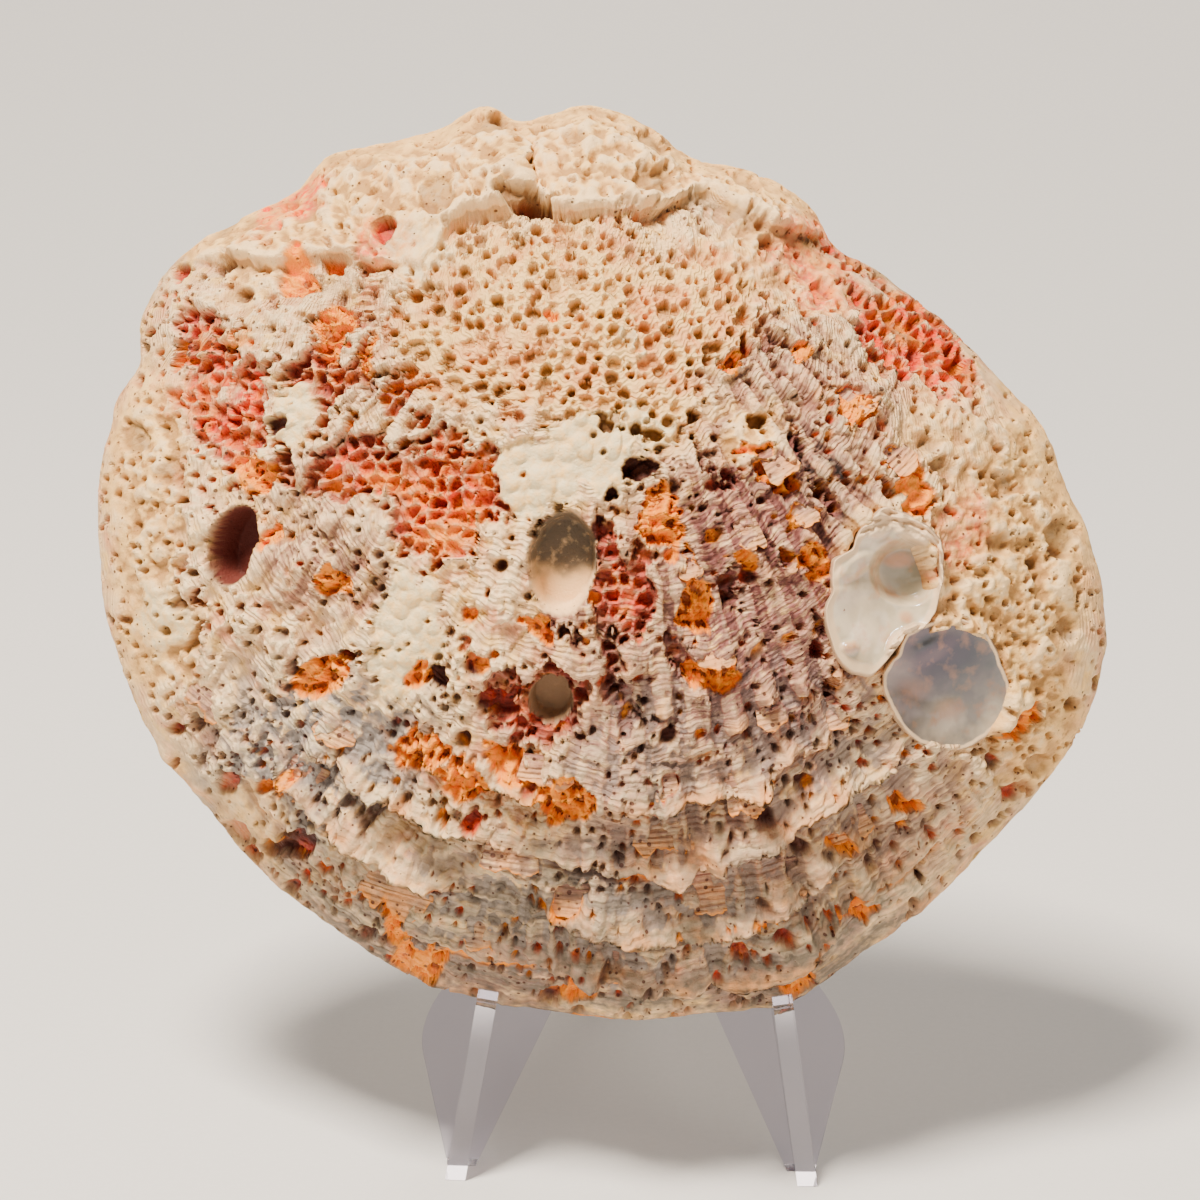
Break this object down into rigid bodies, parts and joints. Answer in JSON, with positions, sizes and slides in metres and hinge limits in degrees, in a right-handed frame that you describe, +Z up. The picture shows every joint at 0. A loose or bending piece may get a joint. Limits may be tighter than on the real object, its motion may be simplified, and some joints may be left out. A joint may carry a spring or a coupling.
{
  "type": "spiny oyster shell on an easel",
  "caption": "Large worn spiny oyster valve, bored and encrusted, with pearly cup shells cemented on, leaning on a clear moulded easel.",
  "frame": {"origin": "on the floor under the middle of the object's bounding box", "axes": "+X to the right as the shell's sculptured outside is seen, +Y towards the back leg, +Z up"},
  "size_m": [0.1512, 0.1004, 0.1544],
  "materials": {
    "shell": "matt, bored and overgrown shell lime in cream, coral red, orange and mauve",
    "pearl": "smooth pearly shell lime",
    "clear_acrylic": "clear moulded acrylic, polished"
  },
  "bodies": {
    "root": {"shell_valve": "shell", "upper_cup_shell": "pearl", "lower_cup_shell": "pearl", "stand_front": "clear_acrylic", "stand_back_leg": "clear_acrylic"}
  },
  "joints": []
}
